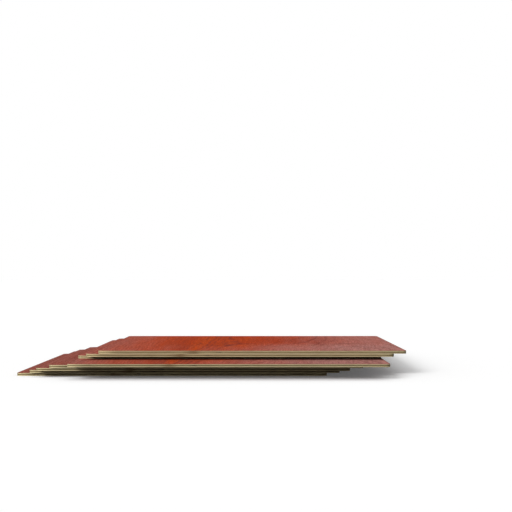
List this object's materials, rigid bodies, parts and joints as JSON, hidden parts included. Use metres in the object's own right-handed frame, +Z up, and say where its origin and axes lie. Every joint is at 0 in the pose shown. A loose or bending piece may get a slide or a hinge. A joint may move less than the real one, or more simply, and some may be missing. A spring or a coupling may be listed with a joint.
{
  "type": "stack of plywood sheets",
  "caption": "Loose stack of thin square veneered plywood sheets with rounded corners, slid apart into a fan and lying flat; raw stock for cutting and craft work.",
  "frame": {"origin": "on the floor, at the middle of the stack's footprint", "axes": "+Z up through the sheets, +X to the right and across the face grain, +Y to the back and along the face grain"},
  "size_m": [0.3778, 0.3778, 0.024],
  "materials": {
    "veneered_plywood": "satin red-brown face veneer, bare sawn edges with pale outer plies and a darker core"
  },
  "bodies": {
    "root": {"sheet_1": "veneered_plywood", "sheet_2": "veneered_plywood", "sheet_3": "veneered_plywood", "sheet_4": "veneered_plywood", "sheet_5": "veneered_plywood", "sheet_6": "veneered_plywood", "sheet_7": "veneered_plywood", "sheet_8": "veneered_plywood"}
  },
  "joints": []
}
